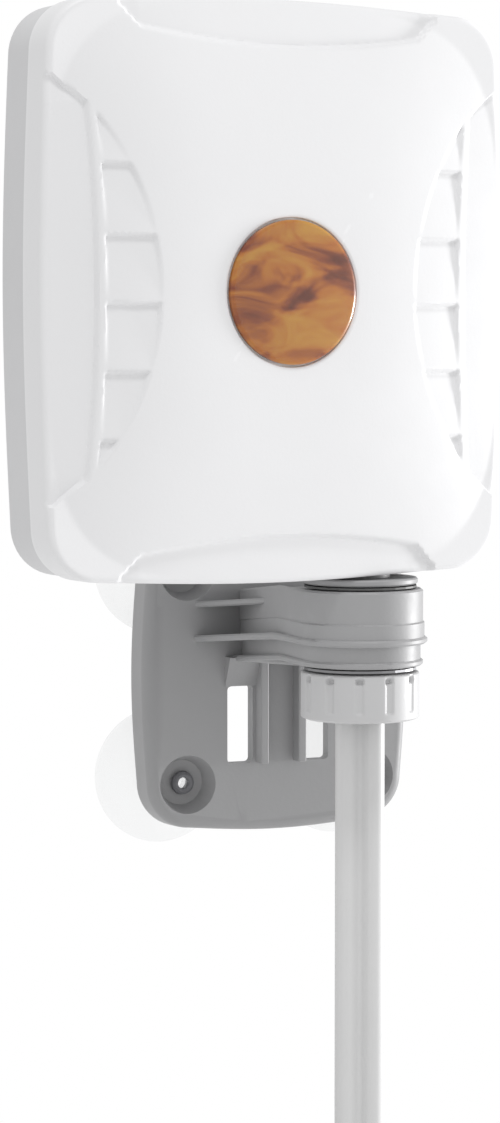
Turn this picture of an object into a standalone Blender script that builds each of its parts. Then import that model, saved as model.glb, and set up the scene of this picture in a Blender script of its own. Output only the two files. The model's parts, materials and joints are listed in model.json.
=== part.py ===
"""Outdoor panel antenna on a swivelling wall and window bracket, with its twin coaxial lead.

Metres, +Z up, the front faces -Y. The origin is the centre of the four suction cup lips, on the
plane that rests on the wall or window. The panel, its stem and the lead turn about the vertical
swivel axis.
"""

import math

import bmesh
import bpy
from mathutils import Matrix, Vector

MM = 0.001
GAP = 0.3 * MM

# Swivel: a vertical axis in front of the plate, and how far the panel is turned on it.
AXIS_Y = -65 * MM
PANEL_TURN = math.radians(8.4)

# Panel, measured from the swivel axis: X to the right, Y to the back.
PANEL_W = 105 * MM
PANEL_H = 115 * MM
PANEL_X = -24.8 * MM
PANEL_Z = 82.4 * MM
PANEL_R = 10.5 * MM
PANEL_BULGE = 1.4 * MM
FACE_Y = -15 * MM
CROWN = 4.4 * MM
RIM_ROUND = 1.2 * MM
SPLIT_Y = -2.3 * MM
BACK_Y = 9.5 * MM
WALL = 2.2 * MM
FAIRING_R = 13 * MM
FAIRING_TOP = 58 * MM
BADGE_R = 14.2 * MM
BADGE_SINK = 0.8 * MM
SCREW_X = 42.6 * MM
SCREW_Z = 47.6 * MM
BOARD_W = 78 * MM
BOARD_H = 72 * MM
BOARD_Z = 96 * MM
BOARD_Y = -6.0 * MM
BOARD_T = 1.6 * MM
POST_X = 34 * MM
POST_Z = 29 * MM

# Stem and clamp.
PANEL_LOW = PANEL_Z - PANEL_H / 2
STEM_R = 9.0 * MM
STEM_LOW = -2.2 * MM
BOSS_BORE = 9.4 * MM
BOSS_LOW = 6.6 * MM
BOSS_TOP = 22.3 * MM
COLLAR_R = 11.8 * MM
COLLAR_LOW = 23.3 * MM
NUT_R = 12.2 * MM
NUT_LOW = -4.5 * MM
NUT_TOP = 5.3 * MM
NUT_FLUTES = 12

# Plate and suction cups.
PLATE_W = 62.6 * MM
PLATE_H = 68.8 * MM
PLATE_R = 10 * MM
PLATE_FRONT = -19 * MM
PLATE_BACK = -11 * MM
PLATE_WALL = 3 * MM
CUP_R = 15 * MM
CUP_X = 21 * MM
CUP_Z = 23.2 * MM
SLOT_X = 8.9 * MM
SLOT_W = 5.9 * MM
SLOT_LOW = -19 * MM
SLOT_TOP = -2.1 * MM

# The arm's storeys from the bottom: name, radius at the boss, half width at the plate, low, high.
ARM_STOREYS = [
    ("arm_lower", 12.4 * MM, 8.2 * MM, BOSS_LOW + 0.2 * MM, 11.3 * MM),
    ("fin_lower", 12.9 * MM, 10.6 * MM, BOSS_LOW, BOSS_LOW + 1.3 * MM),
    ("arm_middle", 13.2 * MM, 8.6 * MM, 11.2 * MM, 15.9 * MM),
    ("fin_middle", 13.8 * MM, 20 * MM, 11.1 * MM, 12.5 * MM),
    ("arm_upper", 12.9 * MM, 8.8 * MM, 15.7 * MM, BOSS_TOP),
    ("fin_upper", 9.2 * MM, 20 * MM, 18.6 * MM, 19.9 * MM),
]

# Twin lead: its width, its coil below the panel, and the connectors inside the coil.
LEAD_W = 10.2 * MM
COIL_X = -34.3 * MM
COIL_Z = -178 * MM
COIL_IN = 43.4 * MM
COIL_OUT = 69.7 * MM
COIL_T = 31.6 * MM
END_X = COIL_X + 21.3 * MM
END_TOP = COIL_Z + 16 * MM
BOOT_LEN = 16 * MM
PLUG_SPREAD = 4.9 * MM

# The lead's way down from the grommet to the coil, as X and Z in millimetres.
LEAD_ROUTE = [
    (0, 2), (0, -6), (0, -14), (0, -22), (0, -30), (0, -38), (0, -46), (0, -54),
    (0, -62), (0, -70), (0, -78), (0, -86), (0.1, -94), (0.9, -102), (2.6, -110),
]
# Its end inside the coil, from the turns to the boot, measured from the coil's centre.
LEAD_END_ROUTE = [(14.2, 36.0), (17.2, 32.6), (19.6, 28.4), (20.9, 23.6), (21.3, 18.2), (21.3, 16.4)]


def clear_scene():
    for obj in list(bpy.data.objects):
        bpy.data.objects.remove(obj, do_unlink=True)


def collection(name):
    made = bpy.data.collections.new(name)
    bpy.context.scene.collection.children.link(made)
    return made


def material(name, colour, roughness, metallic=0.0):
    made = bpy.data.materials.new(name)
    made.use_nodes = True
    shader = made.node_tree.nodes["Principled BSDF"]
    shader.inputs["Base Color"].default_value = (*colour, 1)
    shader.inputs["Roughness"].default_value = roughness
    shader.inputs["Metallic"].default_value = metallic
    return made


WHITE = (0.84, 0.84, 0.85)
GREY = (0.72, 0.72, 0.73)
CLEAR = (0.9, 0.92, 0.93)
RUBBER = (0.05, 0.05, 0.05)
STEEL = (0.6, 0.6, 0.6)
GOLD = (0.8, 0.6, 0.25)
COPPER = (0.75, 0.4, 0.22)

clear_scene()
PARTS = collection("panel_antenna")
CUTTERS = collection("cutters")


def finish(obj, colour, roughness=0.45, metallic=0.0, parent=None):
    """Gives a sub-part its own material and its parent."""
    obj.data.materials.append(material(obj.name, colour, roughness, metallic))
    if parent:
        obj.parent = parent
    return obj


def from_bmesh(name, bm, home=None):
    bmesh.ops.recalc_face_normals(bm, faces=bm.faces)
    mesh = bpy.data.meshes.new(name)
    bm.to_mesh(mesh)
    bm.free()
    mesh.shade_smooth()
    mesh.set_sharp_from_angle(angle=math.radians(32))
    obj = bpy.data.objects.new(name, mesh)
    (home or PARTS).objects.link(obj)
    return obj


def as_cutter(obj, parent=None):
    obj.hide_render = True
    obj.display_type = "WIRE"
    if parent:
        obj.parent = parent
    return obj


def block(name, low, high, home=None, bevel=0.0):
    """A box between two corners, with its edges rounded by bevel."""
    bm = bmesh.new()
    bmesh.ops.create_cube(bm, size=1)
    size = [high[i] - low[i] for i in range(3)]
    centre = [(high[i] + low[i]) / 2 for i in range(3)]
    bmesh.ops.scale(bm, vec=size, verts=bm.verts)
    bmesh.ops.translate(bm, vec=centre, verts=bm.verts)
    if bevel:
        bmesh.ops.bevel(bm, geom=bm.edges[:], offset=bevel, segments=2, profile=0.5, affect="EDGES")
    return from_bmesh(name, bm, home)


def cylinder(name, radius, start, end, home=None, radius_end=None, steps=20):
    """A round bar or cone from start to end."""
    start, end = Vector(start), Vector(end)
    way = end - start
    bm = bmesh.new()
    bmesh.ops.create_cone(
        bm, cap_ends=True, segments=steps, radius1=radius, depth=way.length,
        radius2=radius if radius_end is None else radius_end,
    )
    turn = Vector((0, 0, 1)).rotation_difference(way.normalized()).to_matrix().to_4x4()
    bmesh.ops.transform(bm, matrix=Matrix.Translation((start + end) / 2) @ turn, verts=bm.verts)
    return from_bmesh(name, bm, home)


def turned(name, profile, centre, along="Z", steps=32, home=None):
    """A profile of (radius, height) points turned about an axis; along -Y stands out to the front."""
    area = 0.0
    for (r0, h0), (r1, h1) in zip(profile, profile[1:] + profile[:1]):
        area += r0 * h1 - r1 * h0
    points = profile if area < 0 else profile[::-1]
    bm = bmesh.new()
    verts = [bm.verts.new((r, 0, h)) for r, h in points]
    on_axis = [i for i, (r, _) in enumerate(points) if r == 0]
    for i, vert in enumerate(verts):
        after = (i + 1) % len(verts)
        if not (i in on_axis and after in on_axis):
            bm.edges.new((vert, verts[after]))
    mesh = bpy.data.meshes.new(name)
    bm.to_mesh(mesh)
    bm.free()
    obj = bpy.data.objects.new(name, mesh)
    (home or PARTS).objects.link(obj)
    obj.location = centre
    if along == "-Y":
        obj.rotation_euler = (math.pi / 2, 0, 0)
    if along == "-Z":
        obj.rotation_euler = (math.pi, 0, 0)
    screw = obj.modifiers.new("Turn", "SCREW")
    screw.axis = "Z"
    screw.steps = steps
    screw.render_steps = steps
    screw.use_merge_vertices = True
    screw.merge_threshold = 0.00001
    screw.use_smooth_shade = True
    return obj


def boolean(obj, other, operation):
    mod = obj.modifiers.new(operation.title(), "BOOLEAN")
    mod.operation = operation
    mod.solver = "EXACT"
    mod.object = other


def outline(half_w, half_h, radius, bulge, arc_steps=4, side_steps=4):
    """A rounded rectangle whose four sides swell by bulge at their middles, as (x, z) points."""
    points = []
    for k, (sx, sz) in enumerate([(1, 1), (-1, 1), (-1, -1), (1, -1)]):
        cx = sx * (half_w - bulge - radius)
        cz = sz * (half_h - bulge - radius)
        start = k * math.pi / 2
        arc = []
        for i in range(arc_steps + 1):
            angle = start + i * math.pi / 2 / arc_steps
            arc.append((cx + radius * math.cos(angle), cz + radius * math.sin(angle)))
        points += arc
        far = arc[-1]
        span = -2 * cx if k % 2 == 0 else -2 * cz
        for i in range(1, side_steps):
            t = i / side_steps
            swell = bulge * math.sin(math.pi * t)
            if k % 2 == 0:
                points.append((far[0] + span * t, far[1] + sz * swell))
            else:
                points.append((far[0] + sx * swell, far[1] + span * t))
    return points


def loft(bm, rings, cap_last):
    """Joins rings of (x, y, z) points with faces, and closes the last one if asked."""
    made = [[bm.verts.new(p) for p in ring] for ring in rings]
    for lower, upper in zip(made, made[1:]):
        for i in range(len(lower)):
            j = (i + 1) % len(lower)
            bm.faces.new((lower[i], lower[j], upper[j], upper[i]))
    if cap_last:
        bm.faces.new(made[-1])
    return made


def placed(points, cx, y, cz, scale=1.0):
    return [(cx + x * scale, y, cz + z * scale) for x, z in points]


def shell(name, outer, inner):
    """An open tray from two sets of rings, each running from the tray's edge to its floor."""
    bm = bmesh.new()
    made = loft(bm, outer[::-1] + inner, cap_last=True)
    bm.faces.new(made[0])
    return from_bmesh(name, bm)


def smooth_path(points, per_span):
    """Points along a Catmull-Rom curve through the route's own points."""
    route = [Vector(p) for p in points]
    ends = [2 * route[0] - route[1]] + route + [2 * route[-1] - route[-2]]
    path = []
    for i in range(1, len(ends) - 2):
        a, b, c, d = ends[i - 1:i + 3]
        for k in range(per_span):
            t = k / per_span
            path.append(0.5 * (2 * b + (c - a) * t + (2 * a - 5 * b + 4 * c - d) * t ** 2
                               + (3 * b - a - 3 * c + d) * t ** 3))
    path.append(route[-1])
    return path


def tube(name, path, radius, resolution=2):
    curve = bpy.data.curves.new(name, "CURVE")
    curve.dimensions = "3D"
    curve.bevel_depth = radius
    curve.bevel_resolution = resolution
    curve.use_fill_caps = True
    spline = curve.splines.new("POLY")
    spline.points.add(len(path) - 1)
    for point, place in zip(spline.points, path):
        point.co = (*place, 1)
    obj = bpy.data.objects.new(name, curve)
    PARTS.objects.link(obj)
    return obj


def flat_outline(name, points, thickness, centre, turn):
    """A plate with the given outline that faces the front, turned in its own plane."""
    curve = bpy.data.curves.new(name, "CURVE")
    curve.dimensions = "2D"
    curve.fill_mode = "BOTH"
    curve.extrude = thickness / 2
    spline = curve.splines.new("POLY")
    spline.points.add(len(points) - 1)
    for point, (x, y) in zip(spline.points, points):
        point.co = (x, y, 0, 1)
    spline.use_cyclic_u = True
    obj = bpy.data.objects.new(name, curve)
    PARTS.objects.link(obj)
    obj.location = centre
    obj.rotation_euler = (math.pi / 2, turn, 0)
    return obj


# ---------------------------------------------------------------- panel

panel_axis = bpy.data.objects.new("panel_axis", None)
PARTS.objects.link(panel_axis)
panel_axis.location = (0, AXIS_Y, 0)
panel_axis.rotation_euler = (0, 0, PANEL_TURN)


def panel_outline(inset):
    return outline(PANEL_W / 2 - inset, PANEL_H / 2 - inset, PANEL_R - inset, PANEL_BULGE)


def crown_y(scale):
    """The front's Y at a given fraction of the way out from its centre: flat in the middle."""
    flat = 0.3
    out = max(0.0, (scale - flat) / (1 - flat))
    return FACE_Y + CROWN * out ** 2


def make_front_cover():
    full = panel_outline(0)
    rim = panel_outline(RIM_ROUND)
    rings = [placed(full, PANEL_X, SPLIT_Y, PANEL_Z)]
    rings.append(placed(full, PANEL_X, crown_y(1) + RIM_ROUND, PANEL_Z))
    rings.append(placed(panel_outline(RIM_ROUND * 0.3), PANEL_X, crown_y(1) + RIM_ROUND * 0.3, PANEL_Z))
    for scale in (1, 0.88, 0.74, 0.58, 0.42, 0.3):
        rings.append(placed(rim, PANEL_X, crown_y(scale), PANEL_Z, scale))
    hollow = panel_outline(WALL)
    inner = [placed(hollow, PANEL_X, SPLIT_Y, PANEL_Z)]
    for scale in (1, 0.88, 0.74, 0.58, 0.42, 0.3):
        inner.append(placed(hollow, PANEL_X, crown_y(scale) + WALL, PANEL_Z, scale))
    cover = shell("front_cover", rings, inner)
    for k, (sx, sz) in enumerate([(1, 1), (-1, 1), (-1, -1), (1, -1)]):
        x = PANEL_X + sx * SCREW_X
        z = PANEL_Z + sz * SCREW_Z
        post = cylinder(f"cover_post_{k}", 3.2 * MM, (x, -9.6 * MM, z), (x, -2.6 * MM, z), CUTTERS, steps=16)
        boolean(cover, as_cutter(post, panel_axis), "UNION")
        pilot = cylinder(f"cover_pilot_{k}", 1.35 * MM, (x, -8 * MM, z), (x, 0, z), CUTTERS, steps=12)
        boolean(cover, as_cutter(pilot, panel_axis), "DIFFERENCE")
    sink = cylinder(
        "badge_sink", BADGE_R + GAP, (PANEL_X, FACE_Y + BADGE_SINK, PANEL_Z),
        (PANEL_X, FACE_Y - 2 * MM, PANEL_Z), CUTTERS, steps=28,
    )
    boolean(cover, as_cutter(sink, panel_axis), "DIFFERENCE")
    boolean(cover, STEM_HOLE, "DIFFERENCE")
    finish(cover, WHITE, 0.4, parent=panel_axis)


def make_rear_housing():
    edge = 2.0 * MM
    rings = [placed(panel_outline(0.4 * MM), PANEL_X, SPLIT_Y + GAP, PANEL_Z)]
    rings.append(placed(panel_outline(0.5 * MM), PANEL_X, BACK_Y - edge, PANEL_Z))
    rings.append(placed(panel_outline(0.5 * MM + edge * 0.3), PANEL_X, BACK_Y - edge * 0.3, PANEL_Z))
    rings.append(placed(panel_outline(0.5 * MM + edge), PANEL_X, BACK_Y, PANEL_Z))
    hollow = panel_outline(0.5 * MM + WALL)
    inner = [placed(hollow, PANEL_X, y, PANEL_Z) for y in (SPLIT_Y + GAP, BACK_Y - WALL)]
    housing = shell("rear_housing", rings, inner)

    bm = bmesh.new()
    rings = []
    for radius, z in ((FAIRING_R, PANEL_LOW + 0.5 * MM), (FAIRING_R, FAIRING_TOP - 12 * MM), (8.5 * MM, FAIRING_TOP)):
        ring = [(radius, SPLIT_Y + GAP, z)]
        ring += [(radius * math.cos(a), radius * math.sin(a), z) for a in
                 [math.pi * i / 16 for i in range(17)]]
        ring.append((-radius, SPLIT_Y + GAP, z))
        rings.append(ring)
    made = loft(bm, rings, cap_last=True)
    bm.faces.new(made[0])
    fairing = from_bmesh("fairing", bm, CUTTERS)
    boolean(housing, as_cutter(fairing, panel_axis), "UNION")

    inner = FAIRING_R - 2.4 * MM
    floor = PANEL_LOW + 2.9 * MM
    bore = cylinder("fairing_bore", inner, (0, 0, floor), (0, 0, 46 * MM), CUTTERS)
    boolean(housing, as_cutter(bore, panel_axis), "DIFFERENCE")
    way = block(
        "fairing_way", (-inner + 0.2 * MM, -4 * MM, floor + 0.1 * MM),
        (inner - 0.2 * MM, BACK_Y - WALL - 0.05 * MM, 64 * MM), CUTTERS,
    )
    boolean(housing, as_cutter(way, panel_axis), "DIFFERENCE")
    boolean(housing, STEM_HOLE, "DIFFERENCE")
    for k, (sx, sz) in enumerate([(1, 1), (-1, 1), (-1, -1), (1, -1)]):
        x = PANEL_X + sx * SCREW_X
        z = PANEL_Z + sz * SCREW_Z
        hole = cylinder(f"screw_hole_{k}", 1.5 * MM, (x, 0, z), (x, BACK_Y + MM, z), CUTTERS, steps=12)
        sink = cylinder(
            f"screw_sink_{k}", 3 * MM, (x, BACK_Y - 1.2 * MM, z), (x, BACK_Y + MM, z), CUTTERS, steps=16
        )
        boolean(housing, as_cutter(hole, panel_axis), "DIFFERENCE")
        boolean(housing, as_cutter(sink, panel_axis), "DIFFERENCE")
        make_cover_screw(k + 1, x, z)
    finish(housing, GREY, 0.5, parent=panel_axis)


def make_cover_screw(number, x, z):
    """A pan head screw from the back: the profile's height runs to the front."""
    profile = [(0, 0), (2.0, 0), (2.6, 0.3), (2.6, 0.8), (1.05, 0.8), (1.05, 15), (0.6, 16), (0, 16)]
    profile = [(r * MM, h * MM) for r, h in profile]
    screw = turned(f"cover_screw_{number}", profile, (x, BACK_Y - 0.1 * MM, z), "-Y", steps=9)
    finish(screw, STEEL, 0.3, 1.0, parent=panel_axis)


def make_cover_seal():
    bm = bmesh.new()
    outer = panel_outline(3.0 * MM)
    inner = panel_outline(3.9 * MM)
    front = SPLIT_Y - 0.6 * MM
    back = SPLIT_Y + 0.9 * MM
    rings = [(outer, front), (outer, back), (inner, back), (inner, front), (outer, front)]
    made = [[bm.verts.new(p) for p in placed(points, PANEL_X, y, PANEL_Z)] for points, y in rings[:4]]
    made.append(made[0])
    for lower, upper in zip(made, made[1:]):
        for i in range(len(lower)):
            j = (i + 1) % len(lower)
            bm.faces.new((lower[i], lower[j], upper[j], upper[i]))
    seal = from_bmesh("cover_seal", bm)
    room = cylinder("seal_room", FAIRING_R + 0.4 * MM, (0, 0, 20 * MM), (0, 0, 34 * MM), CUTTERS)
    boolean(seal, as_cutter(room, panel_axis), "DIFFERENCE")
    finish(seal, RUBBER, 0.8, parent=panel_axis)


def make_badge():
    base = [(0, 0), (BADGE_R, 0), (BADGE_R, 0.9 * MM), (BADGE_R - 0.4 * MM, 1.2 * MM), (0, 1.2 * MM)]
    floor = FACE_Y + BADGE_SINK - GAP
    disc = turned("badge_base", base, (PANEL_X, floor, PANEL_Z), "-Y", steps=28)
    finish(disc, (0.55, 0.2, 0.05), 0.4, parent=panel_axis)
    dome_r = BADGE_R - 0.6 * MM
    rise = 1.1 * MM
    dome = [(0, 0), (dome_r, 0), (dome_r, 0.2 * MM)]
    for i in range(1, 5):
        a = math.pi / 2 * i / 4
        dome.append((dome_r * math.cos(a), 0.2 * MM + rise * math.sin(a)))
    dome[-1] = (0, 0.2 * MM + rise)
    lens = turned("badge_dome", dome, (PANEL_X, floor - 1.2 * MM - GAP, PANEL_Z), "-Y", steps=28)
    finish(lens, CLEAR, 0.05, parent=panel_axis)


def make_board():
    low = (PANEL_X - BOARD_W / 2, BOARD_Y, BOARD_Z - BOARD_H / 2)
    high = (PANEL_X + BOARD_W / 2, BOARD_Y + BOARD_T, BOARD_Z + BOARD_H / 2)
    board = block("antenna_board", low, high)
    low = (low[0] - 2 * MM, 3.6 * MM, low[2] - MM)
    high = (high[0] + 2 * MM, 4.6 * MM, high[2] + MM)
    plate = block("reflector_plate", low, high)
    number = 0
    for sx in (-1, 1):
        for sz in (-1, 1):
            number += 1
            x = PANEL_X + sx * POST_X
            z = BOARD_Z + sz * POST_Z
            hole = cylinder(f"board_hole_{number}", 1.2 * MM, (x, -9 * MM, z), (x, 0, z), CUTTERS, steps=12)
            boolean(board, as_cutter(hole, panel_axis), "DIFFERENCE")
            hole = cylinder(f"plate_hole_{number}", 2.5 * MM, (x, 0, z), (x, 7 * MM, z), CUTTERS, steps=16)
            boolean(plate, as_cutter(hole, panel_axis), "DIFFERENCE")
            post = [(1.2, 0.5), (2.2, 0.5), (2.2, 4.2), (3.2, 4.2), (3.2, 5.2), (2.2, 5.2), (2.2, 11.1), (1.2, 11.1)]
            post = [(r * MM, h * MM) for r, h in post]
            standoff = turned(f"standoff_{number}", post, (x, 7.5 * MM, z), "-Y", steps=9)
            finish(standoff, (0.7, 0.6, 0.3), 0.3, 1.0, parent=panel_axis)
            profile = [(0, 0), (0.9, 0), (0.9, 6.9), (2.1, 6.9), (2.1, 7.5), (1.6, 7.9), (0, 7.9)]
            profile = [(r * MM, h * MM) for r, h in profile]
            screw = turned(f"board_screw_{number}", profile, (x, 0.6 * MM, z), "-Y", steps=9)
            finish(screw, STEEL, 0.3, 1.0, parent=panel_axis)
    finish(board, (0.05, 0.25, 0.12), 0.5, parent=panel_axis)
    finish(plate, (0.8, 0.8, 0.8), 0.35, 1.0, parent=panel_axis)


def make_radiators():
    """Two bow-ties that cross at right angles, one behind the other."""
    end = 27 * MM
    wide = 9 * MM
    waist = 2.2 * MM
    bow = [(-end, -wide), (0, -waist), (end, -wide), (end, wide), (0, waist), (-end, wide)]
    for number, turn, y in ((1, math.pi / 4, -6.6 * MM), (2, -math.pi / 4, -7.5 * MM)):
        name = f"radiator_{number}"
        bowtie = flat_outline(name, bow, 0.4 * MM, (PANEL_X, y, BOARD_Z), turn)
        finish(bowtie, COPPER, 0.35, 1.0, parent=panel_axis)


def make_stem():
    profile = [
        (STEM_R, STEM_LOW), (STEM_R, 13.3 * MM), (7.8 * MM, 13.3 * MM), (7.8 * MM, 15.1 * MM),
        (STEM_R, 15.1 * MM), (STEM_R, COLLAR_LOW), (COLLAR_R, COLLAR_LOW),
        (COLLAR_R, PANEL_LOW - GAP), (6.0 * MM, PANEL_LOW - GAP), (6.0 * MM, PANEL_LOW + 3.3 * MM),
        (7.6 * MM, PANEL_LOW + 3.3 * MM), (7.6 * MM, PANEL_LOW + 5.0 * MM),
        (4.8 * MM, PANEL_LOW + 5.0 * MM), (4.8 * MM, 19.5 * MM), (6.9 * MM, 16.5 * MM),
        (6.9 * MM, STEM_LOW),
    ]
    finish(turned("stem", profile, (0, 0, 0), steps=24), GREY, 0.5, parent=panel_axis)
    ring_r = 8.6 * MM
    ring_t = 0.5 * MM
    section = []
    for i in range(6):
        a = 2 * math.pi * i / 6
        section.append((ring_r + ring_t * math.cos(a), 14.2 * MM + ring_t * math.sin(a)))
    finish(turned("stem_o_ring", section, (0, 0, 0), steps=20), RUBBER, 0.7, parent=panel_axis)
    grommet = [(5.4, -2.2), (6.6, -2.2), (6.6, 4.0), (5.4, 4.0)]
    grommet = [(r * MM, h * MM) for r, h in grommet]
    finish(turned("cable_grommet", grommet, (0, 0, 0), steps=20), (0.25, 0.25, 0.26), 0.7, parent=panel_axis)
    for number, side in ((1, -1), (2, 1)):
        x = 1.6 * MM * side
        end_x = PANEL_X + 6 * MM * side
        back = -0.6 * MM + 1.5 * MM * side
        route = [(x, 0, 5 * MM), (x, 0, 20 * MM), (x, 0, 34 * MM), (x, -0.4 * MM, 48 * MM)]
        route += [(x - MM, back, 60 * MM), (x - 8 * MM, back, 70 * MM)]
        route += [(end_x, back, 80 * MM), (end_x, back, 88 * MM)]
        lead = tube(f"feed_lead_{number}", smooth_path(route, 3), 1.2 * MM)
        finish(lead, (0.3, 0.3, 0.32), 0.5, parent=panel_axis)


# ---------------------------------------------------------------- bracket


def make_arm_layer(name, radius, root_w, low, high, drop=3.4 * MM):
    """One storey of the arm: round about the boss, flaring to the plate, and sloping down to it."""
    root_y = PLATE_FRONT + 1.5 * MM
    slope_y = AXIS_Y + NUT_R + MM
    points = []
    for i in range(17):
        a = math.pi + math.pi * i / 16
        points.append((radius * math.cos(a), AXIS_Y + radius * math.sin(a)))
    steps = 8
    right = []
    for i in range(1, steps + 1):
        t = i / steps
        half = radius + (root_w - radius) * t ** 2
        right.append((half, AXIS_Y + (root_y - AXIS_Y) * t))
    points += right
    points += [(-x, y) for x, y in reversed(right)]
    bm = bmesh.new()
    rings = []
    for z in (low, high):
        rings.append([(x, y, z - drop * max(0, (y - slope_y) / (root_y - slope_y))) for x, y in points])
    made = loft(bm, rings, cap_last=False)
    for ring in made:
        bm.faces.new(ring)
    bmesh.ops.triangulate(bm, faces=[f for f in bm.faces if len(f.verts) > 4])
    return as_cutter(from_bmesh(name, bm, CUTTERS))


def make_lintel(name, side):
    """The wedge over a strap slot: proud of the plate at its top, flush at its bottom."""
    inner = side * 4.6 * MM
    outer = side * 12.4 * MM
    low = (min(inner, outer), PLATE_FRONT - 3.2 * MM, SLOT_TOP - 0.2 * MM)
    high = (max(inner, outer), PLATE_FRONT + MM, 4.4 * MM)
    lintel = block(name, low, high, CUTTERS)
    for vert in lintel.data.vertices:
        if vert.co.y < PLATE_FRONT and vert.co.z < 0:
            vert.co.y = PLATE_FRONT - 0.1 * MM
    return as_cutter(lintel)


def make_bracket():
    def plate_outline(inset):
        return outline(PLATE_W / 2 - inset, PLATE_H / 2 - inset, PLATE_R - inset, 1.2 * MM)

    edge = 1.5 * MM
    rings = [placed(plate_outline(0), 0, PLATE_BACK, 0)]
    rings.append(placed(plate_outline(0.4 * MM), 0, PLATE_FRONT + edge, 0))
    rings.append(placed(plate_outline(0.4 * MM + edge * 0.3), 0, PLATE_FRONT + edge * 0.3, 0))
    rings.append(placed(plate_outline(0.4 * MM + edge), 0, PLATE_FRONT, 0))
    hollow = plate_outline(PLATE_WALL)
    inner = [placed(hollow, 0, y, 0) for y in (PLATE_BACK, PLATE_FRONT + PLATE_WALL)]
    bracket = shell("wall_bracket", rings, inner)

    for k, (sx, sz) in enumerate([(1, 1), (-1, 1), (-1, -1), (1, -1)]):
        x = sx * CUP_X
        z = sz * CUP_Z
        pad = cylinder(f"cup_pad_{k}", 7.6 * MM, (x, PLATE_BACK - 1 * MM, z), (x, PLATE_FRONT + MM, z), CUTTERS)
        boolean(bracket, as_cutter(pad), "UNION")
    for name, radius, root_w, low, high in ARM_STOREYS:
        boolean(bracket, make_arm_layer(name, radius, root_w, low, high), "UNION")
    for k, side in enumerate((-1, 1)):
        rib = block(
            f"centre_rib_{k}", (side * 4.4 * MM - 0.9 * MM, PLATE_FRONT - 3.6 * MM, -19 * MM),
            (side * 4.4 * MM + 0.9 * MM, PLATE_FRONT + MM, 5 * MM), CUTTERS,
        )
        boolean(bracket, as_cutter(rib), "UNION")

    for k, side in enumerate((-1, 1)):
        boolean(bracket, make_lintel(f"slot_lintel_{k}", side), "UNION")

    for k, (sx, sz) in enumerate([(1, 1), (-1, 1), (-1, -1), (1, -1)]):
        x = sx * CUP_X
        z = sz * CUP_Z
        well = cylinder(
            f"cup_well_{k}", 6.4 * MM, (x, PLATE_FRONT - MM, z), (x, PLATE_FRONT + 4.6 * MM, z), CUTTERS,
            radius_end=4.9 * MM,
        )
        boolean(bracket, as_cutter(well), "DIFFERENCE")
        hole = cylinder(f"cup_hole_{k}", 2.1 * MM, (x, PLATE_FRONT, z), (x, 0, z), CUTTERS, steps=16)
        boolean(bracket, as_cutter(hole), "DIFFERENCE")
        make_cup(k + 1, x, z)
    for k, side in enumerate((-1, 1)):
        slot = block(
            f"strap_slot_{k}", (side * SLOT_X - SLOT_W / 2, PLATE_FRONT - 2 * MM, SLOT_LOW),
            (side * SLOT_X + SLOT_W / 2, PLATE_BACK + 2 * MM, SLOT_TOP), CUTTERS, bevel=0.9 * MM,
        )
        boolean(bracket, as_cutter(slot), "DIFFERENCE")
    bore = cylinder("boss_bore", BOSS_BORE, (0, AXIS_Y, 0), (0, AXIS_Y, 30 * MM), CUTTERS, steps=28)
    boolean(bracket, as_cutter(bore), "DIFFERENCE")
    finish(bracket, GREY, 0.5)


def make_cup(number, x, z):
    """A suction cup: lip on the wall, hub behind the plate, and a nub through the plate's hole."""
    profile = [
        (CUP_R, 0), (13.4, 0), (9, 2.2), (4, 3.4), (0, 3.6), (0, 16.2), (1.6, 16.2), (2.5, 15.6),
        (2.5, 14.9), (1.7, 14.7), (1.7, 10.2), (5, 10.2), (5.4, 7.4), (9.6, 4.6), (14, 1.8), (15, 1.0),
    ]
    profile = [(CUP_R, 0)] + [(r * MM, h * MM) for r, h in profile[1:]]
    cup = turned(f"suction_cup_{number}", profile, (x, 0, z), "-Y", steps=18)
    finish(cup, CLEAR, 0.1)


def make_clamp():
    washer = [(9.4, 22.6), (11.6, 22.6), (11.6, 23.0), (9.4, 23.0)]
    washer = [(r * MM, h * MM) for r, h in washer]
    finish(turned("friction_washer", washer, (0, AXIS_Y, 0), steps=24), (0.2, 0.2, 0.2), 0.6)
    washer = [(9.4, 5.7), (11.6, 5.7), (11.6, 6.2), (9.4, 6.2)]
    washer = [(r * MM, h * MM) for r, h in washer]
    finish(turned("clamp_washer", washer, (0, AXIS_Y, 0), steps=24), STEEL, 0.3, 1.0)

    low = NUT_LOW
    profile = [
        (NUT_R - 0.5 * MM, low), (NUT_R, low + 0.5 * MM), (NUT_R, NUT_TOP - 0.4 * MM),
        (NUT_R - 0.4 * MM, NUT_TOP), (9.4 * MM, NUT_TOP), (9.4 * MM, low + 1.8 * MM),
        (6.3 * MM, low + 1.8 * MM), (6.3 * MM, low),
    ]
    nut = turned("clamp_nut", profile, (0, AXIS_Y, 0), steps=36)
    for k in range(NUT_FLUTES):
        a = 2 * math.pi * k / NUT_FLUTES
        x = (NUT_R + 0.35 * MM) * math.cos(a)
        y = AXIS_Y + (NUT_R + 0.35 * MM) * math.sin(a)
        flute = cylinder(f"nut_flute_{k}", 0.8 * MM, (x, y, low + 2 * MM), (x, y, 9 * MM), CUTTERS, steps=8)
        boolean(nut, as_cutter(flute), "DIFFERENCE")
    finish(nut, WHITE, 0.45)


# ---------------------------------------------------------------- twin lead


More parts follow.
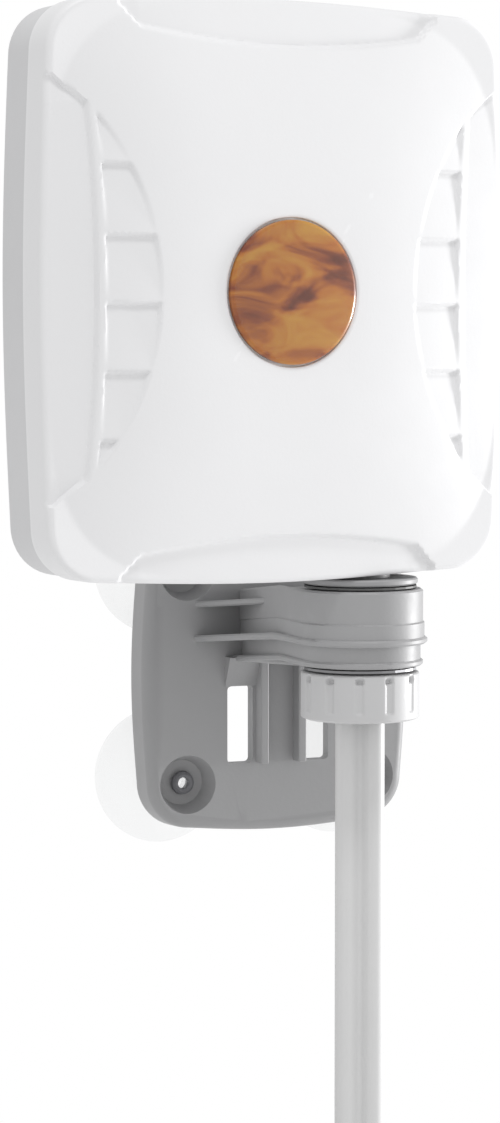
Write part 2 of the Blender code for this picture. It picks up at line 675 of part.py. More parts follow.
def make_lead():
    route = [(x * MM, AXIS_Y, z * MM) for x, z in LEAD_ROUTE]
    lead = tube("lead_run", smooth_path(route, 2), LEAD_W / 2)
    finish(lead, GREY, 0.5)

    half = COIL_T / 2
    ring = [(COIL_IN, -half), (COIL_OUT, -half), (COIL_OUT, half), (COIL_IN, half)]
    finish(turned("lead_coil", ring, (COIL_X, AXIS_Y, COIL_Z), "-Y", steps=32), GREY, 0.5)

    route = [(COIL_X + x * MM, AXIS_Y, COIL_Z + z * MM) for x, z in LEAD_END_ROUTE]
    finish(tube("lead_end", smooth_path(route, 2), LEAD_W / 2), GREY, 0.5)

    for number, degrees in ((1, 150), (2, 330)):
        make_coil_tie(number, math.radians(degrees))
    make_boot()
    for number, side in ((1, -1), (2, 1)):
        make_connector(number, AXIS_Y + side * PLUG_SPREAD)


def make_coil_tie(number, angle):
    """A strap round the coil's section, modelled at 3 o'clock and turned into place."""
    half_w = 4 * MM
    thick = 1.0 * MM
    inner_low = (COIL_IN - GAP - 0.2 * MM, -COIL_T / 2 - GAP, -half_w)
    inner_high = (COIL_OUT + GAP, COIL_T / 2 + GAP, half_w)
    outer_low = (inner_low[0] - thick, inner_low[1] - thick, -half_w)
    outer_high = (inner_high[0] + thick, inner_high[1] + thick, half_w)
    tie = block(f"coil_tie_{number}", outer_low, outer_high)
    hole_low = (inner_low[0], inner_low[1], -2 * half_w)
    hole_high = (inner_high[0], inner_high[1], 2 * half_w)
    hole = as_cutter(block(f"tie_hole_{number}", hole_low, hole_high, CUTTERS))
    for obj in (tie, hole):
        obj.location = (COIL_X, AXIS_Y, COIL_Z)
        obj.rotation_euler = (0, -angle, 0)
    boolean(tie, hole, "DIFFERENCE")
    finish(tie, RUBBER, 0.8)


def make_boot():
    """The moulded boot where the twin lead splits: it widens along Y towards the connectors."""
    bm = bmesh.new()
    rings = []
    for along, half_x, half_y in ((0, 3.4, 6.0), (0.35, 3.8, 6.8), (0.8, 4.0, 8.6), (1, 3.6, 8.2)):
        points = outline(half_x * MM, half_y * MM, 2.6 * MM, 0, arc_steps=4, side_steps=2)
        z = END_TOP - GAP - along * BOOT_LEN
        rings.append([(END_X + x, AXIS_Y + y, z) for x, y in points])
    made = loft(bm, rings, cap_last=True)
    bm.faces.new(made[0])
    finish(from_bmesh("split_boot", bm), (0.12, 0.12, 0.13), 0.6)


def make_connector(number, y):
    """A coaxial plug with its pin, hanging from the boot, and its coupling nut."""
    top = END_TOP - BOOT_LEN - 2 * GAP
    body = [
        (0, 0), (2.6, 0), (2.6, 7.5), (3.1, 7.8), (3.1, 9.2), (2.1, 9.2), (2.1, 14.5), (1.2, 14.5),
        (1.2, 13.0), (0.5, 13.0), (0.5, 16.0), (0, 16.4),
    ]
    body = [(r * MM, h * MM) for r, h in body]
    plug = turned(f"sma_body_{number}", body, (END_X, y, top), "-Z", steps=12)
    finish(plug, GOLD, 0.25, 1.0)
    low = top - 17.6 * MM
    high = top - 9.6 * MM
    nut = cylinder(f"sma_nut_{number}", 4.5 * MM, (END_X, y, low), (END_X, y, high), steps=6)
    bore = cylinder(f"sma_bore_{number}", 2.5 * MM, (END_X, y, low - MM), (END_X, y, high + MM), CUTTERS, steps=20)
    boolean(nut, as_cutter(bore), "DIFFERENCE")
    finish(nut, GOLD, 0.25, 1.0)


STEM_HOLE = as_cutter(
    cylinder("stem_hole", 6.3 * MM, (0, 0, PANEL_LOW - 3 * MM), (0, 0, PANEL_LOW + 6 * MM), CUTTERS), panel_axis
)

make_front_cover()
make_rear_housing()
make_cover_seal()
make_badge()
make_board()
make_radiators()
make_stem()
make_bracket()
make_clamp()
make_lead()
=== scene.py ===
"""The looks of the swivelling panel antenna: fine shells, twin lead, clear cups and every finish."""

import json
import math

import bmesh
import bpy
from mathutils import Matrix, Vector


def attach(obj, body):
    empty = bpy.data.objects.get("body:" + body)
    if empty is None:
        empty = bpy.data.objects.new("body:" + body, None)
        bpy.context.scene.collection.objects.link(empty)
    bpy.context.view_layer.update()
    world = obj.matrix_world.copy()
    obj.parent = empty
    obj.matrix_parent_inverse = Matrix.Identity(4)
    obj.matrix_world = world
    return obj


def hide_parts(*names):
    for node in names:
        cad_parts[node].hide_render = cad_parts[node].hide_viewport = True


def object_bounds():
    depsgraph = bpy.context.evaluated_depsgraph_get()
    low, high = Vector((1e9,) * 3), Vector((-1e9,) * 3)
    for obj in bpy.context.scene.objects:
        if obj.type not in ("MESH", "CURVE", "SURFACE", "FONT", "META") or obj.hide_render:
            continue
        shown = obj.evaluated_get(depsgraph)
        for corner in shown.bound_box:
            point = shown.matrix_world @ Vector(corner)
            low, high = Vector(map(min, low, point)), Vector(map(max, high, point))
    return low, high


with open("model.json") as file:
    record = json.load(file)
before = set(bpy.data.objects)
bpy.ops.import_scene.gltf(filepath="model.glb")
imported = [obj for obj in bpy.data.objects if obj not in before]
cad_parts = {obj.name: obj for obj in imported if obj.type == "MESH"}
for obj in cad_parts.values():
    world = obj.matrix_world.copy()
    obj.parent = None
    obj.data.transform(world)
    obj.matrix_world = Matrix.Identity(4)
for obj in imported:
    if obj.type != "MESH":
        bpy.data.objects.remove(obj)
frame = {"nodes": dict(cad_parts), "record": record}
cad_low, cad_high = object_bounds()

MM = 0.001
JOINTS = {joint["name"]: joint for joint in frame["record"]["behaviour"]["joints"]}
SWIVEL = Vector(JOINTS["panel_swivel"]["pos_m"])
TURN = math.radians(8.4)
TURN_PANEL = Matrix.Translation(SWIVEL) @ Matrix.Rotation(TURN, 4, "Z")

CAMERA_PLACE = (-0.2632, -0.6875, 0.0733)
CAMERA_AZIMUTH = math.radians(-21)
CAMERA_PITCH = math.radians(-3.86)
CAMERA_LENS = 105.8

# Panel, from the swivel axis, before it is turned on it.
PANEL_W = 105 * MM
PANEL_H = 115 * MM
PANEL_X = -24.8 * MM
PANEL_Z = 82.4 * MM
PANEL_R = 10.5 * MM
PANEL_BULGE = 1.4 * MM
PANEL_LOW = PANEL_Z - PANEL_H / 2
FACE_Y = -15 * MM
CROWN = 4.4 * MM
RIM_ROUND = 1.2 * MM
SPLIT_Y = -2.3 * MM
BACK_Y = 9.5 * MM
WALL = 2.2 * MM
BADGE_R = 14.2 * MM
BADGE_SINK = 0.8 * MM
FAIRING_R = 13 * MM
FAIRING_TOP = 58 * MM
FAIRING_SHOULDER = 12 * MM
HALVES_GAP = 0.3 * MM
SCREW_X = 42.6 * MM
SCREW_Z = 47.6 * MM

# The face's relief, in millimetres from its centre: scoops at the sides and ends, stepped pockets.
SIDE_LINE = 43.0
SIDE_TURN = 36.0
SIDE_BULGE = 1.8
SIDE_SLANT = 9.5 / 7
SIDE_DEEP = 1.0
END_LINE = 47.7
END_TURN = 31.5
END_BULGE = 2.8
END_DEEP = 1.1
SCOOP_EDGE = 0.9
POCKET_CENTRE = 80.5
POCKET_R = 52.0
POCKET_TOPS = (36.0, 24.8, 11.2, -1.9, -15.2, -28.4, -36.5)
POCKET_DEEP = 0.95
POCKET_EDGE = 0.7

# Stem and nut.
STEM_R = 9.0 * MM
STEM_LOW = -2.2 * MM
STEM_HOLE_R = 6.3 * MM
GROOVE_R = 7.8 * MM
COLLAR_R = 11.8 * MM
COLLAR_LOW = 23.3 * MM
COLLAR_TOP = PANEL_LOW - 0.3 * MM
FLANGE_LOW = PANEL_LOW + 3.3 * MM
FLANGE_TOP = PANEL_LOW + 5 * MM
FLANGE_R = 7.6 * MM
NUT_R = 12.2 * MM
NUT_LOW = -4.5 * MM
NUT_TOP = 5.3 * MM
NUT_HOLE_R = 6.3 * MM
FLUTES = 12
FLUTE_DEEP = 0.35 * MM
FLUTE_PHASE = math.radians(66.7)

# Plate and boss.
PLATE_W = 62.6 * MM
PLATE_H = 68.8 * MM
PLATE_R = 10 * MM
PLATE_FRONT = -19 * MM
PLATE_BACK = -11 * MM
PLATE_WALL = 3 * MM
BOSS_LOW = 6.6 * MM
BOSS_TOP = 22.3 * MM
BORE_R = 9.4 * MM
CUP_X = 21 * MM
CUP_Z = 23.2 * MM
SLOT_X = 8.9 * MM
SLOT_W = 5.9 * MM
SLOT_TOP = -2.1 * MM
SLOT_LOW = -19 * MM
# The arm's storeys from the bottom: name, radius at the boss, half width at the plate, low, high, edge.
ARM_STOREYS = [
    ("arm_lower", 12.4 * MM, 8.2 * MM, BOSS_LOW + 0.2 * MM, 11.3 * MM, 0.1 * MM),
    ("fin_lower", 12.9 * MM, 10.6 * MM, BOSS_LOW, BOSS_LOW + 1.3 * MM, 0.35 * MM),
    ("arm_middle", 13.2 * MM, 8.6 * MM, 11.2 * MM, 15.9 * MM, 0.5 * MM),
    ("fin_middle", 13.8 * MM, 20 * MM, 11.1 * MM, 12.5 * MM, 0.4 * MM),
    ("arm_upper", 12.9 * MM, 8.8 * MM, 15.3 * MM, BOSS_TOP, 0.4 * MM),
    ("fin_upper", 9.2 * MM, 20 * MM, 18.6 * MM, 19.9 * MM, 0.35 * MM),
]

# Twin lead.
LEAD_W = 10.2 * MM
STRAND_R = 2.32 * MM
COIL = Vector((-34.3 * MM, SWIVEL.y, -178 * MM))
COIL_OUTER = 66.9 * MM
COIL_STEP = 5.2 * MM
COIL_SIDE = 10.4 * MM
COIL_START = 42
COIL_TURNS = 12 + 302 / 360
POINTS_A_TURN = 60
END_BEND = 25 * MM
# The lead's route down to its coil, as (x, z) in millimetres.
LEAD_ROUTE = [
    (0, 2), (0, -6), (0, -14), (0, -22), (0, -30), (0, -38), (0, -46), (0, -54),
    (0, -62), (0, -70), (0, -78), (0, -86), (0.1, -94), (0.9, -102), (2.6, -110),
    (5.6, -118.6), (10.0, -126.6),
]


# ---------------------------------------------------------------- mesh helpers


def new_object(name, bm, smooth_angle=35, matrix=None):
    """An object from bm, smooth except along edges sharper than smooth_angle."""
    bmesh.ops.recalc_face_normals(bm, faces=bm.faces)
    if matrix:
        bmesh.ops.transform(bm, matrix=matrix, verts=bm.verts)
    mesh = bpy.data.meshes.new(name)
    bm.to_mesh(mesh)
    bm.free()
    mesh.shade_smooth()
    mesh.set_sharp_from_angle(angle=math.radians(smooth_angle))
    obj = bpy.data.objects.new(name, mesh)
    bpy.context.scene.collection.objects.link(obj)
    return obj


def skin(bm, rings):
    """Faces between each ring of vertices and the next."""
    for lower, upper in zip(rings, rings[1:]):
        for i in range(len(lower)):
            j = (i + 1) % len(lower)
            bm.faces.new((lower[i], lower[j], upper[j], upper[i]))


def loft(bm, rings):
    """A closed body through rings of equally many points."""
    made = [[bm.verts.new(p) for p in ring] for ring in rings]
    skin(bm, made)
    bm.faces.new(made[0])
    bm.faces.new(made[-1])


def outline(half_w, half_h, radius, bulge, arc_steps=12, side_steps=24):
    """A rounded rectangle whose four sides swell by bulge at their middles, as (x, z) points."""
    points = []
    for k, (sx, sz) in enumerate([(1, 1), (-1, 1), (-1, -1), (1, -1)]):
        cx = sx * (half_w - bulge - radius)
        cz = sz * (half_h - bulge - radius)
        start = k * math.pi / 2
        for i in range(arc_steps + 1):
            angle = start + i * math.pi / 2 / arc_steps
            points.append((cx + radius * math.cos(angle), cz + radius * math.sin(angle)))
        far = points[-1]
        span = -2 * cx if k % 2 == 0 else -2 * cz
        for i in range(1, side_steps):
            t = i / side_steps
            swell = bulge * math.sin(math.pi * t)
            if k % 2 == 0:
                points.append((far[0] + span * t, far[1] + sz * swell))
            else:
                points.append((far[0] + sx * swell, far[1] + span * t))
    return points


def turned(name, profile, centre, along=(0, 0, 1), steps=96, matrix=None):
    """A closed (radius, height) profile turned about an axis through centre."""
    turn = Vector((0, 0, 1)).rotation_difference(Vector(along)).to_matrix().to_4x4()
    place = Matrix.Translation(centre) @ turn
    bm = bmesh.new()
    rings = []
    for r, h in profile:
        if r < 1e-7:
            rings.append([bm.verts.new(place @ Vector((0, 0, h)))])
            continue
        ring = []
        for i in range(steps):
            a = 2 * math.pi * i / steps
            ring.append(bm.verts.new(place @ Vector((r * math.cos(a), r * math.sin(a), h))))
        rings.append(ring)
    for lower, upper in zip(rings, rings[1:] + rings[:1]):
        for i in range(steps):
            j = (i + 1) % steps
            quad = (lower[i % len(lower)], lower[j % len(lower)],
                    upper[j % len(upper)], upper[i % len(upper)])
            corners = list(dict.fromkeys(quad))
            if len(corners) > 2:
                bm.faces.new(corners)
    return new_object(name, bm, matrix=matrix)


def plug(name, radius, length, centre, along=(0, 0, 1), steps=96, matrix=None):
    """A plain cylinder that starts at centre."""
    profile = [(0, 0), (radius, 0), (radius, length), (0, length)]
    return turned(name, profile, centre, along, steps, matrix)


def block(name, low, high, bevel=0.0):
    bm = bmesh.new()
    bmesh.ops.create_cube(bm, size=1)
    bmesh.ops.scale(bm, vec=[high[i] - low[i] for i in range(3)], verts=bm.verts)
    bmesh.ops.translate(bm, vec=[(high[i] + low[i]) / 2 for i in range(3)], verts=bm.verts)
    if bevel:
        bmesh.ops.bevel(bm, geom=bm.edges[:], offset=bevel, segments=4, profile=0.5, affect="EDGES")
    return new_object(name, bm)


def combine(obj, others, operation):
    """Joins or cuts with each of the others, bakes the result and removes them."""
    for other in others:
        mod = obj.modifiers.new("Join", "BOOLEAN")
        mod.operation = operation
        mod.solver = "EXACT"
        mod.object = other
    bake(obj)
    for other in others:
        bpy.data.objects.remove(other, do_unlink=True)


def bake(obj):
    """Makes the modifiers' result the object's mesh."""
    bpy.context.view_layer.update()
    graph = bpy.context.evaluated_depsgraph_get()
    mesh = bpy.data.meshes.new_from_object(obj.evaluated_get(graph))
    obj.modifiers.clear()
    obj.data = mesh


def soften(obj, width):
    """Small round edges all over a cut piece, then smooth shading that keeps its faces flat."""
    mod = obj.modifiers.new("Edges", "BEVEL")
    mod.width = width
    mod.segments = 2
    mod.limit_method = "ANGLE"
    mod.angle_limit = math.radians(30)
    bake(obj)
    obj.data.shade_smooth()
    obj.data.set_sharp_from_angle(angle=math.radians(50))
    even = obj.modifiers.new("Flat faces", "WEIGHTED_NORMAL")
    even.keep_sharp = True
    even.weight = 90
    bake(obj)


def smoothstep(x):
    """0 below 0, 1 above 1, and a soft ramp between."""
    x = min(1.0, max(0.0, x))
    return x * x * (3 - 2 * x)


# ---------------------------------------------------------------- camera


def make_camera():
    data = bpy.data.cameras.new("camera")
    data.sensor_width = 36
    data.lens = CAMERA_LENS
    camera = bpy.data.objects.new("camera", data)
    bpy.context.scene.collection.objects.link(camera)
    camera.location = CAMERA_PLACE
    camera.rotation_euler = (math.pi / 2 + CAMERA_PITCH, 0, CAMERA_AZIMUTH)
    bpy.context.scene.camera = camera


# ---------------------------------------------------------------- materials


NOISE_RANGE = (0.3, 0.7)
GLOSS_DRIFT = 0.06
FINISHES = {}


def new_material(name):
    """Makes a material, keeps it in FINISHES, and gives its nodes, links and Principled BSDF."""
    made = bpy.data.materials.new(name)
    made.use_nodes = True
    FINISHES[name] = made
    return made.node_tree.nodes, made.node_tree.links, made.node_tree.nodes["Principled BSDF"]


def map_range(nodes, links, value, source, target):
    """Takes value from the source pair of numbers to the target pair."""
    ramp = nodes.new("ShaderNodeMapRange")
    for name, number in zip(("From Min", "From Max", "To Min", "To Max"), source + target):
        ramp.inputs[name].default_value = number
    links.new(value, ramp.inputs["Value"])
    return ramp.outputs["Result"]


def noise_of(nodes, links, scale, detail):
    """A noise in object space."""
    noise = nodes.new("ShaderNodeTexNoise")
    noise.inputs["Scale"].default_value = scale
    noise.inputs["Detail"].default_value = detail
    coords = nodes.new("ShaderNodeTexCoord")
    links.new(coords.outputs["Object"], noise.inputs["Vector"])
    return noise.outputs["Fac"]


def over(nodes, links, base, top, factor):
    """The top colour over the base, which is a colour or another node's output."""
    mix = nodes.new("ShaderNodeMix")
    mix.data_type = "RGBA"
    if isinstance(base, tuple):
        mix.inputs["A"].default_value = base
    else:
        links.new(base, mix.inputs["A"])
    mix.inputs["B"].default_value = top
    links.new(factor, mix.inputs["Factor"])
    return mix.outputs["Result"]


def shade_of(colour, times, plus=0.0):
    return (*[min(1, c * times + plus) for c in colour], 1)


def surface(name, colour, roughness, metallic=0.0, vary=0.03, grain=900, bump=0.12, edge_highlight=0.0, crease_shade=0.0,
            alpha=1.0):
    """A solid finish: drifting colour, uneven gloss, fine grain, a painted highlight on sharp edges and
    painted shade in crevices.
    """
    nodes, links, shader = new_material(name)
    shader.inputs["Metallic"].default_value = metallic
    shader.inputs["Alpha"].default_value = alpha

    drift = map_range(nodes, links, noise_of(nodes, links, 28, 3), NOISE_RANGE, (0, 1))
    edges = nodes.new("ShaderNodeNewGeometry").outputs["Pointiness"]
    # Painted highlight: sharp edges, found by their pointiness, are made paler.
    edge_highlight_mask = map_range(nodes, links, edges, (0.53, 0.62), (0, edge_highlight))
    # Painted shade: crevices, found by their pointiness, are made darker.
    crease_shade_mask = map_range(nodes, links, edges, (0.47, 0.38), (0, crease_shade))
    base = over(nodes, links, shade_of(colour, 1 - vary), shade_of(colour, 1 + vary), drift)
    # The paler colour is the painted edge highlight, the darker one the painted crevice shade.
    base = over(nodes, links, base, shade_of(colour, 1.12, 0.02), edge_highlight_mask)
    base = over(nodes, links, base, shade_of(colour, 0.55), crease_shade_mask)
    links.new(base, shader.inputs["Base Color"])

    glosses = (max(0.02, roughness - GLOSS_DRIFT), min(1, roughness + GLOSS_DRIFT))
    gloss = map_range(nodes, links, noise_of(nodes, links, 160, 4), NOISE_RANGE, glosses)
    links.new(gloss, shader.inputs["Roughness"])
    raised = nodes.new("ShaderNodeBump")
    raised.inputs["Strength"].default_value = bump
    raised.inputs["Distance"].default_value = 0.2 * MM
    links.new(noise_of(nodes, links, grain, 2), raised.inputs["Height"])
    links.new(raised.outputs["Normal"], shader.inputs["Normal"])
    return shader


def amber_print():
    """The badge's print: clouds of amber and orange that darken to red."""
    nodes, links, shader = new_material("badge_amber")
    shader.inputs["Roughness"].default_value = 0.35
    shader.inputs["Coat Weight"].default_value = 0.6
    shader.inputs["Coat Roughness"].default_value = 0.08
    coords = nodes.new("ShaderNodeTexCoord")
    stretch = nodes.new("ShaderNodeMapping")
    stretch.inputs["Scale"].default_value = (0.7, 1, 1.6)
    stretch.inputs["Rotation"].default_value = (0, 0.5, 0)
    clouds = nodes.new("ShaderNodeTexNoise")
    clouds.inputs["Scale"].default_value = 90
    clouds.inputs["Detail"].default_value = 3.5
    clouds.inputs["Distortion"].default_value = 1.2
    links.new(coords.outputs["Object"], stretch.inputs["Vector"])
    links.new(stretch.outputs["Vector"], clouds.inputs["Vector"])
    ramp = nodes.new("ShaderNodeValToRGB")
    stops = ramp.color_ramp.elements
    stops[0].position = 0.28
    stops[0].color = (0.10, 0.012, 0.004, 1)
    stops[1].position = 0.64
    stops[1].color = (0.50, 0.24, 0.03, 1)
    stops.new(0.38).color = (0.22, 0.045, 0.012, 1)
    stops.new(0.49).color = (0.42, 0.13, 0.014, 1)
    links.new(clouds.outputs["Fac"], ramp.inputs["Fac"])
    links.new(ramp.outputs["Color"], shader.inputs["Base Color"])


def clear_resin(name, alpha, roughness, tint):
    """A see-through plastic, nearly even in colour."""
    shader = surface(name, tint, roughness, vary=0.01, bump=0.03, alpha=alpha)
    shader.inputs["IOR"].default_value = 1.46


WHITE = (0.82, 0.82, 0.83)
HOUSING = (0.66, 0.66, 0.67)
BRACKET = (0.33, 0.33, 0.335)
NUT = (0.56, 0.56, 0.565)
JACKET = (0.68, 0.68, 0.68)
BLACK = (0.03, 0.03, 0.03)


def make_finishes():
    surface("radome_white", WHITE, 0.42, vary=0.008, grain=1400, bump=0.06, edge_highlight=0.3)
    surface("housing_grey", HOUSING, 0.5, vary=0.015, grain=1100, bump=0.1, edge_highlight=0.3, crease_shade=0.25)
    surface("bracket_grey", BRACKET, 0.48, vary=0.02, grain=1000, bump=0.14, edge_highlight=0.45, crease_shade=0.4)
    surface("nut_white", NUT, 0.45, vary=0.015, grain=1100, bump=0.1, edge_highlight=0.4, crease_shade=0.5)
    surface("seal_rubber", BLACK, 0.8, vary=0.1, grain=700, bump=0.2)
    amber_print()
    clear_resin("clear_lens", 0.04, 0.05, (0.5, 0.4, 0.3))
    surface("circuit_board", (0.03, 0.18, 0.08), 0.45, vary=0.08, grain=500, bump=0.2)
    surface("sheet_aluminium", (0.75, 0.75, 0.76), 0.35, 1.0, grain=400, bump=0.1)
    surface("copper_foil", (0.75, 0.38, 0.2), 0.35, 1.0, vary=0.05, grain=400, bump=0.1)
    surface("inner_coax", (0.2, 0.2, 0.21), 0.5, vary=0.05)
    surface("grommet_rubber", (0.16, 0.16, 0.17), 0.75, vary=0.08, bump=0.2)
    surface("lead_jacket", JACKET, 0.38, vary=0.02, grain=600, bump=0.06)
    surface("tie_strap", BLACK, 0.9, vary=0.2, grain=2500, bump=0.7)
    surface("boot_rubber", (0.06, 0.06, 0.065), 0.6, vary=0.08, bump=0.25, edge_highlight=0.3)
    surface("plug_brass", (0.85, 0.6, 0.24), 0.22, 1.0, vary=0.04, grain=500, bump=0.05, edge_highlight=0.3)
    # Painted shade: the washer's steel is made dark to stand for the dark gap line where it sits.
    surface("washer_steel", (0.3, 0.3, 0.31), 0.45, 1.0, vary=0.04, bump=0.08)
    surface("washer_dark", (0.12, 0.12, 0.12), 0.5, vary=0.05)
    surface("standoff_brass", (0.7, 0.55, 0.26), 0.3, 1.0, vary=0.04)
    surface("screw_steel", (0.58, 0.58, 0.6), 0.28, 1.0, vary=0.04, bump=0.06, edge_highlight=0.4)
    clear_resin("clear_cup", 0.12, 0.12, (0.86, 0.88, 0.89))


def finish_as(obj, slot):
    obj.data.materials.clear()
    obj.data.materials.append(FINISHES[slot])


def finish_frame():
    """The same finishes on the frame's own pieces."""
    for part in frame["record"]["subparts"]:
        for place in frame["nodes"][part["node"]].material_slots:
            place.material = FINISHES[part["material_slot"]]


# ---------------------------------------------------------------- panel


def crown_y(scale):
    """Where the crowned face lies, scale of the way from its middle to its rim."""
    flat = 0.3
    out = max(0.0, (scale - flat) / (1 - flat))
    return FACE_Y + CROWN * out ** 2


def scoop(past, deep, rise, least):
    """Depth this far past a scoop's line: a quick step down, and a slow rise to the rim."""
    if past <= 0:
        return 0.0
    return deep * smoothstep(past / SCOOP_EDGE) * max(least, 1 - rise * past)


def pocket_step(ax, z, side):
    """Depth of the steps between the side's scoop and the round pocket line."""
    inside = POCKET_R - math.hypot(ax - POCKET_CENTRE, z)
    if inside <= 0 or ax >= side or abs(z) >= SIDE_TURN + 1:
        return 0.0
    for top, low in zip(POCKET_TOPS, POCKET_TOPS[1:]):
        if low < z <= top:
            along = (top - z) / (top - low)
            deep = POCKET_DEEP * (1 - along) ** 1.1 * smoothstep((top - z) / SCOOP_EDGE)
            return deep * smoothstep(inside / POCKET_EDGE) * smoothstep((side - 1.1 - ax) / POCKET_EDGE)
    return 0.0


def relief(x, z):
    """How far the face is sunk at (x, z) in millimetres from its centre: scoops and stepped pockets."""
    ax = abs(x)
    az = abs(z)
    if az <= SIDE_TURN:
        side = SIDE_LINE - SIDE_BULGE + SIDE_BULGE * (z / SIDE_TURN) ** 2
    else:
        side = SIDE_LINE + (az - SIDE_TURN) * SIDE_SLANT
    if ax <= END_TURN:
        end = END_LINE + END_BULGE * (ax / END_TURN) ** 2
    else:
        end = END_LINE + END_BULGE + (ax - END_TURN)
    return MM * max(scoop(ax - side, SIDE_DEEP, 0.085, 0.2), scoop(az - end, END_DEEP, 0.07, 0.3),
                    pocket_step(ax, z, side))


def make_front_cover():
    """The radome: a crowned face with its relief, rounded rim and side wall, hollow behind."""
    arc_steps, side_steps, face_rings = 16, 150, 100
    hub = BADGE_R + 1.3 * MM

    def shape_at(inset, out):
        """A ring of the face: round at the badge, out 0, and the panel's outline at out 1."""
        ring = []
        for x, z in outline(PANEL_W / 2 - inset, PANEL_H / 2 - inset, PANEL_R - inset, PANEL_BULGE,
                            arc_steps, side_steps):
            reach = hub / math.hypot(x, z)
            share = reach + (1 - reach) * out
            ring.append((x * share, z * share))
        return ring

    def face_y(x, z):
        out = ((x / (PANEL_W / 2 - RIM_ROUND)) ** 4 + (z / (PANEL_H / 2 - RIM_ROUND)) ** 4) ** 0.25
        return crown_y(min(1.0, out)) + relief(x / MM, z / MM)

    rings = []
    for radius in (0.4, 5, 10, BADGE_R / MM - 0.4, BADGE_R / MM + 0.4):
        share = radius * MM / hub
        rings.append([(PANEL_X + x * share, FACE_Y + BADGE_SINK, PANEL_Z + z * share)
                      for x, z in shape_at(0, 0)])
    for rise, spread in ((0.5, 0.5), (0.85, 0.56), (1.0, 0.72)):
        share = (BADGE_R + spread * MM) / hub
        rings.append([(PANEL_X + x * share, FACE_Y + BADGE_SINK * (1 - rise), PANEL_Z + z * share)
                      for x, z in shape_at(0, 0)])
    for k in range(face_rings + 1):
        rings.append([(PANEL_X + x, face_y(x, z), PANEL_Z + z)
                      for x, z in shape_at(RIM_ROUND, k / face_rings)])
    rim = [y for _, y, _ in rings[-1]]
    for k in range(1, 6):
        a = math.pi / 2 * k / 5
        down = RIM_ROUND * (1 - math.cos(a))
        shape = shape_at(RIM_ROUND * (1 - math.sin(a)), 1)
        rings.append([(PANEL_X + x, y + down, PANEL_Z + z) for (x, z), y in zip(shape, rim)])
    wall = rings[-1]
    for k in range(1, 7):
        rings.append([(x, y + (SPLIT_Y - y) * k / 6, z) for x, y, z in wall])
    rings.append([(PANEL_X + x, SPLIT_Y, PANEL_Z + z) for x, z in shape_at(WALL, 1)])
    for scale in (1, 0.88, 0.74, 0.58, 0.42, 0.2, 0.02):
        y = max(crown_y(scale) + WALL + 1.4 * MM * scale, FACE_Y + 2.6 * MM)
        rings.append([(PANEL_X + x * scale, y, PANEL_Z + z * scale) for x, z in shape_at(WALL, 1)])
    bm = bmesh.new()
    loft(bm, rings)
    cover = new_object("radome", bm, 40, TURN_PANEL)
    combine(cover, [stem_hole()], "DIFFERENCE")
    finish_as(cover, "radome_white")
    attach(cover, "head")
    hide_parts("front_cover")


def stem_hole():
    """The cutter of the stem's way in through the panel's bottom wall."""
    return plug("stem_hole", STEM_HOLE_R, 9 * MM, (0, 0, PANEL_LOW - 3 * MM), steps=48, matrix=TURN_PANEL)


def case_fairing():
    """The half-round fairing over the stem, drawn in at its top."""
    front = SPLIT_Y + 2 * HALVES_GAP
    sections = [(FAIRING_R, PANEL_LOW + 0.5 * MM), (FAIRING_R, FAIRING_TOP - FAIRING_SHOULDER)]
    for k in range(1, 7):
        t = k / 6
        sections.append((FAIRING_R - 4.5 * MM * t ** 1.6, FAIRING_TOP - FAIRING_SHOULDER * (1 - t)))
    angles = [math.pi * i / 40 for i in range(41)]
    rings = []
    for radius, z in sections:
        arc = [(radius * math.cos(a), radius * math.sin(a), z) for a in angles]
        rings.append([(radius, front, z)] + arc + [(-radius, front, z)])
    bm = bmesh.new()
    loft(bm, rings)
    return new_object("case_fairing", bm, 40)


def make_case_back():
    """The rear half of the case: a tray with a groove round its back, the fairing and sunk screw holes."""
    def ring_at(inset, y):
        shape = outline(PANEL_W / 2 - inset, PANEL_H / 2 - inset, PANEL_R - inset, PANEL_BULGE)
        return [(PANEL_X + x, y, PANEL_Z + z) for x, z in shape]

    edge = 2.0 * MM
    lip = SPLIT_Y + HALVES_GAP
    inner = 0.4 * MM + WALL
    rings = [ring_at(inner, BACK_Y - WALL), ring_at(inner, lip), ring_at(0.65 * MM, lip),
             ring_at(0.4 * MM, lip + HALVES_GAP)]
    for k in range(7):
        a = math.pi / 2 * k / 6
        rings.append(ring_at(0.5 * MM + edge * (1 - math.cos(a)), BACK_Y - edge * (1 - math.sin(a))))
    for inset, rise in ((8.0, 0.0), (8.5, -0.35), (9.3, -0.35), (9.8, 0.0)):
        rings.append(ring_at(inset * MM, BACK_Y + rise * MM))
    bm = bmesh.new()
    loft(bm, rings)
    back = new_object("case_back", bm, 40)
    combine(back, [case_fairing()], "UNION")

    cutters = [plug("bore", 10.6 * MM, 17 * MM, (0, 0, PANEL_LOW + 2.9 * MM))]
    sink = [(0, 0), (3.0 * MM, 0), (3.2 * MM, 3 * MM), (0, 3 * MM)]
    for sx in (-1, 1):
        for sz in (-1, 1):
            centre = (PANEL_X + sx * SCREW_X, BACK_Y - 1.2 * MM, PANEL_Z + sz * SCREW_Z)
            cutters.append(turned("sink", sink, centre, (0, 1, 0), 40))
    combine(back, cutters, "DIFFERENCE")
    back.data.transform(TURN_PANEL)
    combine(back, [stem_hole()], "DIFFERENCE")
    back.data.shade_smooth()
    back.data.set_sharp_from_angle(angle=math.radians(40))
    finish_as(back, "housing_grey")
    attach(back, "head")
    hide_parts("rear_housing")


